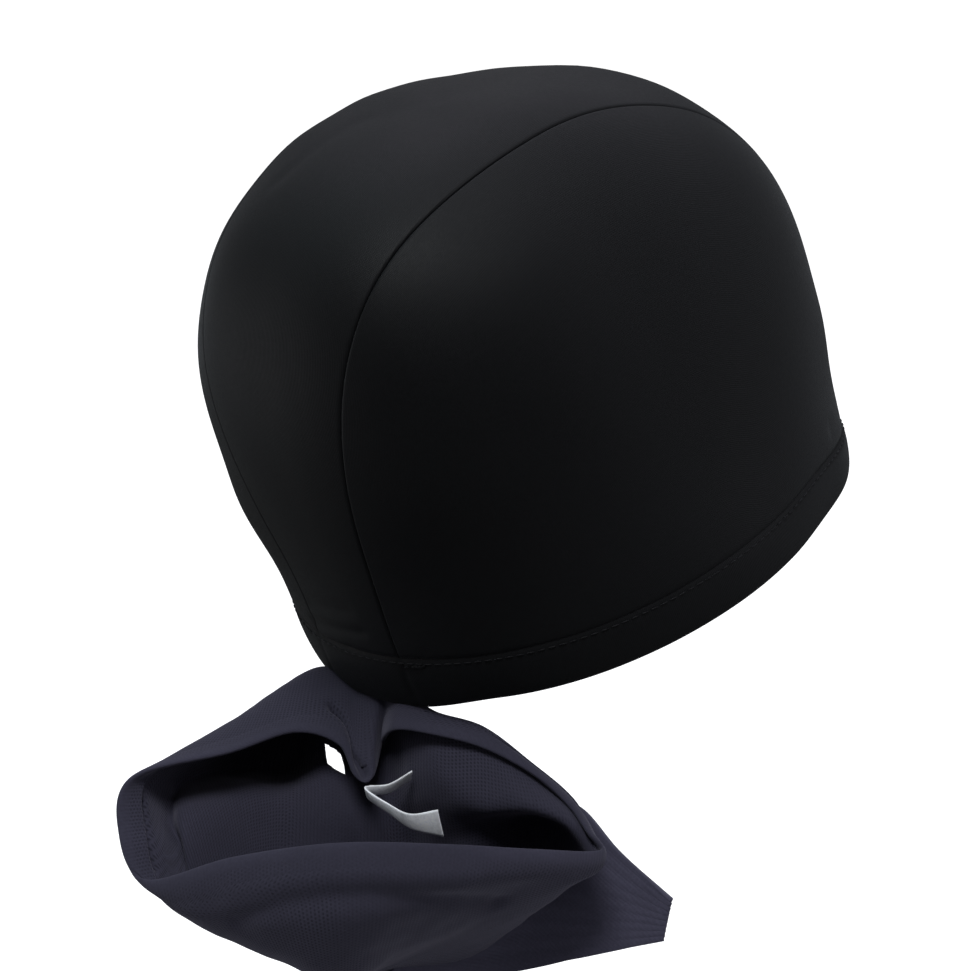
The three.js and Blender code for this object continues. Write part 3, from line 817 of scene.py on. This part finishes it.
def mesh_material(settings, name, stagger, depth, darkness, painted_light_factor=1.0, edge=None):
    """Matte dark navy eyelet mesh; a turned edge at a length down the cloth stays smooth, and a factor above 1
    paints light into a lighter copy of the cloth.
    """
    found = bpy.data.materials.get(name)
    if found:
        return found
    material, tree, shader, cloth, place = cloth_material(
        name, roughness=0.8, sheen=0.14, sheen_roughness=0.5, specular=0.06, tint=(0.85, 0.82, 1.0))
    mesh = place_group(tree, shared_group("Eyelet mesh", eyelet_group), Cloth=cloth,
                       Pitch=settings.eyelet_pitch, Stagger=stagger)
    mottle = mottled(tree, place, 22.0, 1200.0)
    clear = ramped(tree, mottle["Shade"], 0.86, 1.12, 0.25, 1.0)
    if edge:
        split = tree.nodes.new("ShaderNodeSeparateXYZ")
        tree.links.new(cloth, split.inputs[0])
        apart = value_of(tree, "ABSOLUTE", value_of(tree, "SUBTRACT", split.outputs["Y"], edge))
        clear = value_of(tree, "MULTIPLY", clear, ramped(tree, apart, *TURNED_EDGE))
    hole = value_of(tree, "MULTIPLY", mesh["Hole"], clear)
    holes = ramped(tree, hole, 0.0, 1.0, 1.0, darkness)
    # Painted light: a factor above 1 makes a lighter, lit copy of the mesh cloth.
    colour = shaded(tree, [painted_light_factor * value for value in settings.mesh_colour], holes, mottle["Shade"])
    tree.links.new(colour, shader.inputs["Base Color"])
    height = value_of(tree, "MULTIPLY_ADD", hole, -depth, value_of(tree, "MULTIPLY", mesh["Rib"], 0.3))
    height = value_of(tree, "MULTIPLY_ADD", mottle["Fuzz"], 0.5, height)
    bumped(tree, shader, height, strength=0.35, distance=0.0003)
    return material


def thread_material(settings):
    """Twisted black sewing thread."""
    material, tree, shader, _cloth, place = cloth_material(
        "Sewing thread", roughness=0.5, sheen=0.08, sheen_roughness=0.4, specular=0.17, tint=(0.9, 0.9, 1.0))
    wave = tree.nodes.new("ShaderNodeTexWave")
    wave.inputs["Scale"].default_value = 1600.0
    tree.links.new(place, wave.inputs["Vector"])
    twist = ramped(tree, wave.outputs["Fac"], 0.0, 1.0, 0.6, 1.3)
    tree.links.new(shaded(tree, settings.thread_colour, twist), shader.inputs["Base Color"])
    bumped(tree, shader, wave.outputs["Fac"], strength=0.4, distance=0.0001)
    return material


def ribbon_material(settings):
    """White woven ribbon of fine crossed threads."""
    material, tree, shader, cloth, place = cloth_material(
        "Label ribbon", roughness=0.6, sheen=0.1, sheen_roughness=0.5, specular=0.3, tint=(1.0, 1.0, 1.0))
    split = tree.nodes.new("ShaderNodeSeparateXYZ")
    tree.links.new(cloth, split.inputs[0])
    turn = 2 * math.pi / RIBBON_PITCH
    warp, weft = (value_of(tree, "SINE", value_of(tree, "MULTIPLY", split.outputs[axis], turn))
                  for axis in "XY")
    weave = value_of(tree, "MULTIPLY", warp, weft)
    mottle = mottled(tree, place, 120.0, 1500.0)
    threads = ramped(tree, weave, -1.0, 1.0, 0.9, 1.05)
    colour = shaded(tree, settings.ribbon_colour, threads, mottle["Shade"])
    tree.links.new(colour, shader.inputs["Base Color"])
    bumped(tree, shader, weave, strength=0.3, distance=0.0001)
    return material


# The add-on


class SwimCapSettings(bpy.types.PropertyGroup):
    """Sizes and colours of the cap's cloth."""

    stitch_length: FloatProperty(
        name="Stitch length", description="Length of one stitch and its gap along the hem",
        default=0.003, min=0.001, unit="LENGTH")
    thread_width: FloatProperty(
        name="Thread", description="Thickness of the sewing thread", default=0.00038, min=0.0001, unit="LENGTH")
    knit_pitch: FloatProperty(
        name="Knit pitch", description="Distance between neighbouring loops of the knit",
        default=0.00055, min=0.0002, unit="LENGTH")
    eyelet_pitch: FloatProperty(
        name="Eyelet pitch", description="Distance between neighbouring eyelets of the mesh",
        default=0.00105, min=0.0002, unit="LENGTH")
    knit_colour: FloatVectorProperty(
        name="Knit", description="Colour of the stretch knit", subtype="COLOR",
        default=(0.0036, 0.0037, 0.0043))
    mesh_colour: FloatVectorProperty(
        name="Mesh", description="Colour of the eyelet mesh", subtype="COLOR",
        default=(0.035, 0.0333, 0.05))
    thread_colour: FloatVectorProperty(
        name="Thread colour", description="Colour of the sewing thread", subtype="COLOR",
        default=(0.004, 0.004, 0.005))
    ribbon_colour: FloatVectorProperty(
        name="Ribbon", description="Colour of the label's ribbon", subtype="COLOR",
        default=(0.92, 0.93, 0.96))
    floor_colour: FloatVectorProperty(
        name="Floor", description="Colour of the floor", subtype="COLOR", default=(0.45, 0.45, 0.45))


class SWIMCAP_OT_crown_strip(bpy.types.Operator):
    """Make the strip that runs over the crown from forehead to nape"""

    bl_idname = "swimcap.crown_strip"
    bl_label = "Crown strip"

    def execute(self, context):
        settings = context.scene.swim_cap
        share = (crowd(STRIP_COLUMNS, STRIP_CROWDING) * 2 - 1)[None, :]
        level = HEM_HEIGHT - HEM_OVERLAP
        front, nape = hem_angle(share, -1, level - HEM_DIP), hem_angle(share, 1, level)
        along = crowd(CAP_ROWS, ROW_CROWDING)[:, None]
        back = front + along * (nape - front)
        points = beside_middle(share * half_strip(back), back)
        shaped = on_skull(points, relief(points))
        piece = bent_grid("crown_strip_knit", worn(shaped), cloth_places(points, STRIP_COLUMNS // 2))
        give_wall(piece, CAP_WALL)
        finish_piece(piece, knit_material(settings), "crown_strip")
        return {"FINISHED"}


class SWIMCAP_OT_side_panels(bpy.types.Operator):
    """Make the two large panels between the strip and the hem"""

    bl_idname = "swimcap.side_panels"
    bl_label = "Side panels"

    def execute(self, context):
        settings = context.scene.swim_cap
        level = HEM_HEIGHT - HEM_OVERLAP
        front, nape = float(hem_angle(1.0, -1, level - HEM_DIP)), float(hem_angle(1.0, 1, level))
        along = crowd(CAP_ROWS, ROW_CROWDING)[:, None]
        down = crowd(PANEL_COLUMNS, PANEL_CROWDING)[None, :]
        back = front + along * (nape - front)
        seam = beside_middle(half_strip(back), back)
        first, last = (math.atan2(point[0], point[1]) for point in (seam[0, 0], seam[-1, 0]))
        turn = first + along * (last - first)
        foot = skull_point(down_at_height(hem_top(turn) - HEM_OVERLAP, turn), turn)
        points = seam + down[..., None] * (foot - seam)
        points[..., 0] += PANEL_BULGE * down * (1 - down)
        points = on_skull(points)
        for side, node in ((-1, "side_panel_right"), (1, "side_panel_left")):
            sided = points * (side, 1, 1)
            shaped = on_skull(sided, relief(sided))
            piece = bent_grid(node + "_knit", worn(shaped), cloth_places(sided, 0))
            give_wall(piece, CAP_WALL)
            finish_piece(piece, knit_material(settings), node)
        return {"FINISHED"}


class SWIMCAP_OT_hem_band(bpy.types.Operator):
    """Make the turned hem round the rim and the stitches that hold it"""

    bl_idname = "swimcap.hem_band"
    bl_label = "Hem and stitches"

    def execute(self, context):
        settings = context.scene.swim_cap
        turn = np.linspace(-math.pi, math.pi, HEM_COLUMNS + 1)[None, :]
        outline = np.concatenate((HEM_OUTLINE, HEM_OUTLINE[:1]))
        height, lift = outline[:, :1], outline[:, 1:]
        foot = hem_foot(turn)
        height = foot + height * (hem_top(turn) - foot) / HEM_HEIGHT
        down = down_at_height(height, turn + 0 * height)
        flat = skull_point(down, turn)
        back = np.degrees(np.arctan2(flat[..., 1], flat[..., 2]))
        from_seam = np.abs(np.abs(flat[..., 0]) - half_strip(back))
        seam = rolled(from_seam, HEM_SEAM_DEPTH, HEM_SEAM_WIDTH) * (lift > -1.0)
        points = skull_point(down, turn, lift + seam + waves(flat, *HEM_WAVE) + swelled(flat))
        points[..., 2] = height
        piece = bent_grid("hem_band_knit", worn(points), cloth_places(flat, HEM_COLUMNS // 2))
        round_off(piece)
        finish_piece(piece, knit_material(settings), "hem_band")
        stitches = self.stitches(settings)
        finish_piece(stitches, thread_material(settings), None)
        return {"FINISHED"}

    def stitches(self, settings):
        """One row of stitches in the valley over the hem."""
        turn = np.linspace(-math.pi, math.pi, STITCH_LINE_STEPS + 1)
        line = skull_point(down_at_height(STITCH_HEIGHT * hem_top(turn), turn), turn)
        line = in_frame(worn(on_skull(line, STITCH_LIFT + swelled(line))))
        lengths = np.concatenate(((0,), np.cumsum(np.linalg.norm(np.diff(line, axis=0), axis=-1))))
        count = round(lengths[-1] / settings.stitch_length)
        mesh = bmesh.new()
        for i in range(count):
            places = [share * lengths[-1] / count for share in (i + STITCH_GAP, i + 1 - STITCH_GAP)]
            start, end = (Vector([np.interp(place, lengths, line[:, axis]) for axis in range(3)])
                          for place in places)
            along = end - start
            made = bmesh.ops.create_uvsphere(mesh, u_segments=8, v_segments=6, radius=0.5)["verts"]
            size = Matrix.Diagonal((settings.thread_width, settings.thread_width, along.length, 1))
            turned = along.to_track_quat("Z", "Y").to_matrix().to_4x4()
            moved = Matrix.Translation((start + end) / 2)
            bmesh.ops.transform(mesh, matrix=moved @ turned @ size, verts=made)
        for face in mesh.faces:
            face.smooth = True
        return put_in_scene("hem_stitches", mesh)


class SWIMCAP_OT_pouch(bpy.types.Operator):
    """Make the folded mesh cloth of the pouch"""

    bl_idname = "swimcap.pouch"
    bl_label = "Hair pouch"

    def execute(self, context):
        settings = context.scene.swim_cap
        lines, lengths = pouch_lines(POUCH_COLUMNS)
        start = POUCH_HEM_WIDTH - POUCH_HEM_OVERLAP
        stops = [np.maximum(lengths[level * LINE_STEPS], start + past)
                 for level, (_rows, past) in enumerate(BODY_ROWS)]
        stops.append(lengths[-1])
        wanted = [stops[level] + (stops[level + 1] - stops[level]) * i / rows
                  for level, (rows, _past) in enumerate(BODY_ROWS) for i in range(rows)]
        wanted = np.array(wanted + [stops[-1]])
        points = along_lines(lines, lengths, wanted)
        middle, *straight = (round(POUCH_COLUMNS * place / len(SECTIONS)) for place in STRAIGHT_PLACES)
        cloth = cloth_places(points, middle, straight)
        cloth[..., 1] += start
        fade = np.clip((wanted - POUCH_HEM_WIDTH) / WAVE_FADE, 0, 1)
        lift = fold_lift(lines, lengths, wanted) + fade * sum(waves(points, *wave) for wave in POUCH_WAVES)
        shaped = points + sheet_normals(points) * lift[..., None]
        piece = bent_grid("pouch_mesh", shaped, cloth)
        self.cut_slit(piece)
        give_wall(piece, POUCH_WALL, 0.0)
        material = mesh_material(settings, "Eyelet mesh cloth", stagger=0.5, depth=1.0, darkness=0.52)
        finish_piece(piece, material, "hair_pouch")
        tail = self.tail(settings)
        return {"FINISHED"}

    def cut_slit(self, piece):
        """Opens the slit beside the pleat and draws the cloth's edge to its outline."""
        lean, tilt = math.radians(SLIT_LEAN), math.radians(SLIT_TILT)
        rise = np.array((0.0, 0.0, math.cos(tilt))) - math.sin(tilt) * OUT
        long_axis = math.cos(lean) * rise + math.sin(lean) * ACROSS
        short_axis = math.cos(lean) * ACROSS - math.sin(lean) * rise
        mesh = bmesh.new()
        mesh.from_mesh(piece.data)

        def place(point):
            """Shares of the slit's half height, half width and outline at a point, and if the cut is near."""
            apart = np.array(point) / MM + SEAT - SLIT_MIDDLE
            high, wide = apart @ long_axis / (SLIT_HEIGHT / 2), apart @ short_axis / (SLIT_WIDTH / 2)
            size = (abs(high) ** SLIT_ROUND + abs(wide) ** SLIT_ROUND) ** (1 / SLIT_ROUND)
            return high, wide, size, abs(apart @ OUT) < SLIT_DEPTH / 2

        found = [(face, place(face.calc_center_median())) for face in mesh.faces]
        cut = [face for face, (_high, _wide, size, near) in found if near and size < 1]
        bmesh.ops.delete(mesh, geom=cut, context="FACES")
        for vert in mesh.verts:
            high, wide, size, near = place(vert.co)
            if vert.is_boundary and near and SLIT_EDGE[0] < size < SLIT_EDGE[1]:
                move = high * SLIT_HEIGHT / 2 * long_axis + wide * SLIT_WIDTH / 2 * short_axis
                vert.co += Vector(move * (1 / size - 1)) * MM
        mesh.to_mesh(piece.data)
        mesh.free()

    def tail(self, settings):
        """Flat doubled cloth that hangs from the right of the far wall."""
        points, down, along = strap(TAIL, TAIL_CELLS)
        belly = TAIL_BELLY * np.sin(math.pi * down) * (1 - along)
        ribs = RIB_HEIGHT * np.sin(RIB_COUNT * down + RIB_SLANT * along)
        points = points + (belly + ribs + waves(points, *TAIL_WAVE))[..., None] * OUT
        piece = bent_grid("pouch_tail", points, cloth_places(points, 0)[..., ::-1])
        give_wall(piece, TAIL_WALL, 0.0)
        # The tail's mesh cloth is painted 1.65 times lighter than the pouch's: painted light on the low-hanging
        # tail.
        material = mesh_material(
            settings, "Doubled mesh cloth with painted light", stagger=0.0, depth=0.12, darkness=0.92, painted_light_factor=1.65)
        finish_piece(piece, material, None)
        return piece


class SWIMCAP_OT_pouch_hem(bpy.types.Operator):
    """Make the turned hem round the mouth of the pouch"""

    bl_idname = "swimcap.pouch_hem"
    bl_label = "Pouch hem"

    def execute(self, context):
        settings = context.scene.swim_cap
        lines, lengths = pouch_lines(POUCH_COLUMNS)
        wanted = POUCH_HEM_OUTLINE[:, :1] + np.zeros((1, POUCH_COLUMNS + 1))
        even = np.arange(POUCH_HEM_STEPS + 1)[:, None] * POUCH_HEM_STEP + 0 * wanted[:1]
        normals = sheet_normals(along_lines(lines, lengths, even))
        row = np.clip(np.round(POUCH_HEM_OUTLINE[:, 0] / POUCH_HEM_STEP).astype(int), 0, POUCH_HEM_STEPS)
        lift = fold_lift(lines, lengths, wanted) + POUCH_HEM_OUTLINE[:, 1:]
        points = along_lines(lines, lengths, wanted) + normals[row] * lift[..., None]
        piece = bent_grid("pouch_hem_cloth", points, cloth_places(points, POUCH_HEM_MIDDLE))
        round_off(piece)
        material = mesh_material(
            settings, "Hem mesh cloth", stagger=0.5, depth=0.7, darkness=0.65, edge=0.0083)
        finish_piece(piece, material, "pouch_hem")
        return {"FINISHED"}


class SWIMCAP_OT_label(bpy.types.Operator):
    """Make the blank folded ribbon in the mouth of the pouch"""

    bl_idname = "swimcap.label"
    bl_label = "Care label"

    def execute(self, context):
        settings = context.scene.swim_cap
        points, down, _along = strap(LABEL, LABEL_CELLS)
        points = points + LABEL_BELLY * (4 * down * (1 - down))[..., None] * OUT
        piece = bent_grid("care_label_ribbon", points, cloth_places(points, 0))
        give_wall(piece, LABEL_WALL, 0.0)
        finish_piece(piece, ribbon_material(settings), "care_label")
        return {"FINISHED"}


class SWIMCAP_OT_studio(bpy.types.Operator):
    """Make the floor, the lights and the camera"""

    bl_idname = "swimcap.studio"
    bl_label = "Studio"

    distance = 1.2
    pixels_per_metre = 3480.0
    frame_size = 970, 971
    middle_pixel = 567.0, 552.0
    turn, rise = -132.0, 14.0
    sensor = 36.0
    floor_half, floor_drop = 6.0, 0.12
    lights_rise = 0.05
    ambient = 0.12

    def axes(self):
        """The camera's right, up and backward directions."""
        turn, rise = math.radians(self.turn), math.radians(self.rise)
        back = Vector((math.sin(turn) * math.cos(rise), -math.cos(turn) * math.cos(rise), math.sin(rise)))
        right = Vector((math.cos(turn), math.sin(turn), 0.0))
        return right, back.cross(right), back

    def execute(self, context):
        right, up, back = self.axes()
        rim = Vector(in_frame(np.zeros(3)))
        self.camera(context, rim, right, up, back)
        self.floor(context)
        self.lights(context, rim, right, up, back)
        context.scene.view_settings.view_transform = "Standard"
        return {"FINISHED"}

    def camera(self, context, rim, right, up, back):
        """Camera that sees the middle of the rim at its pixel of the frame."""
        data = bpy.data.cameras.new("Camera")
        data.sensor_width = self.sensor
        wide, high = self.frame_size
        data.lens = self.pixels_per_metre * self.distance / max(wide, high) * data.sensor_width
        data.shift_x = (wide / 2 - self.middle_pixel[0]) / max(wide, high)
        data.shift_y = (self.middle_pixel[1] - high / 2) / max(wide, high)
        data.clip_start, data.clip_end = 0.05, 30.0
        camera = bpy.data.objects.new("Camera", data)
        turned = Matrix((right, up, back)).transposed().to_4x4()
        camera.matrix_world = Matrix.Translation(rim + back * self.distance) @ turned
        context.scene.collection.objects.link(camera)
        context.scene.camera = camera

    def floor(self, context):
        """Pale floor under the hanging cap, clear when seen from below."""
        mesh = bmesh.new()
        bmesh.ops.create_grid(mesh, x_segments=1, y_segments=1, size=self.floor_half)
        bmesh.ops.translate(mesh, verts=mesh.verts, vec=(0.0, 0.0, CAD_BOX[0].z - self.floor_drop))
        floor = put_in_scene("studio_floor", mesh)
        material = bpy.data.materials.new("Pale floor")
        material.use_nodes = True
        tree = material.node_tree
        shader = tree.nodes["Principled BSDF"]
        shader.inputs["Base Color"].default_value = (*context.scene.swim_cap.floor_colour, 1.0)
        shader.inputs["Roughness"].default_value = 0.9
        shader.inputs["Specular IOR Level"].default_value = 0.0
        shader.inputs["Emission Color"].default_value = (1.0, 1.0, 1.0, 1.0)
        path = tree.nodes.new("ShaderNodeLightPath")
        tree.links.new(path.outputs["Is Camera Ray"], shader.inputs["Emission Strength"])
        side = tree.nodes.new("ShaderNodeNewGeometry")
        seen_from_above = value_of(tree, "SUBTRACT", 1.0, side.outputs["Backfacing"])
        tree.links.new(seen_from_above, shader.inputs["Alpha"])
        floor.data.materials.append(material)
        floor.visible_glossy = False

    def lights(self, context, rim, right, up, back):
        """Soft discs of light round the cap and a pale world that is brighter to the camera."""
        centre = rim + Vector((0.0, 0.0, self.lights_rise))
        for name, (aside, above, behind), far, size, power, colour in LIGHTS:
            direction = aside * right + above * up + behind * back
            data = bpy.data.lights.new(name, "AREA")
            data.shape = "DISK"
            data.size = size
            data.energy = power
            data.color = colour
            lamp = bpy.data.objects.new(name, data)
            lamp.location = centre + direction.normalized() * far
            lamp.rotation_mode = "QUATERNION"
            lamp.rotation_quaternion = direction.to_track_quat("Z", "Y")
            context.scene.collection.objects.link(lamp)
        world = bpy.data.worlds.new("Studio")
        world.use_nodes = True
        tree = world.node_tree
        backdrop = tree.nodes["Background"]
        backdrop.inputs["Color"].default_value = (1.0, 1.0, 1.0, 1.0)
        path = tree.nodes.new("ShaderNodeLightPath")
        seen = ramped(tree, path.outputs["Is Camera Ray"], 0.0, 1.0, self.ambient, 1.0)
        tree.links.new(seen, backdrop.inputs["Strength"])
        context.scene.world = world


class SWIMCAP_PT_pieces(bpy.types.Panel):
    """Lists the pieces of the swim cap"""

    bl_label = "Swim cap"
    bl_space_type = "VIEW_3D"
    bl_region_type = "UI"
    bl_category = "Swim cap"

    def draw(self, context):
        for name in SwimCapSettings.__annotations__:
            self.layout.prop(context.scene.swim_cap, name)
        for operator in PIECES:
            self.layout.operator(operator.bl_idname)


PIECES = (
    SWIMCAP_OT_crown_strip,
    SWIMCAP_OT_side_panels,
    SWIMCAP_OT_hem_band,
    SWIMCAP_OT_pouch,
    SWIMCAP_OT_pouch_hem,
    SWIMCAP_OT_label,
    SWIMCAP_OT_studio,
)


def register():
    """Registers the settings, the operators and the panel."""
    for item in (SwimCapSettings, *PIECES, SWIMCAP_PT_pieces):
        bpy.utils.register_class(item)
    bpy.types.Scene.swim_cap = PointerProperty(type=SwimCapSettings)


def unregister():
    """Takes them out again."""
    del bpy.types.Scene.swim_cap
    for item in (SWIMCAP_PT_pieces, *reversed(PIECES), SwimCapSettings):
        bpy.utils.unregister_class(item)


def main():
    """Makes every piece and the stage."""
    register()
    bpy.ops.swimcap.crown_strip()
    bpy.ops.swimcap.side_panels()
    bpy.ops.swimcap.hem_band()
    bpy.ops.swimcap.pouch()
    bpy.ops.swimcap.pouch_hem()
    bpy.ops.swimcap.label()
    bpy.ops.swimcap.studio()


if __name__ == "__main__":
    main()
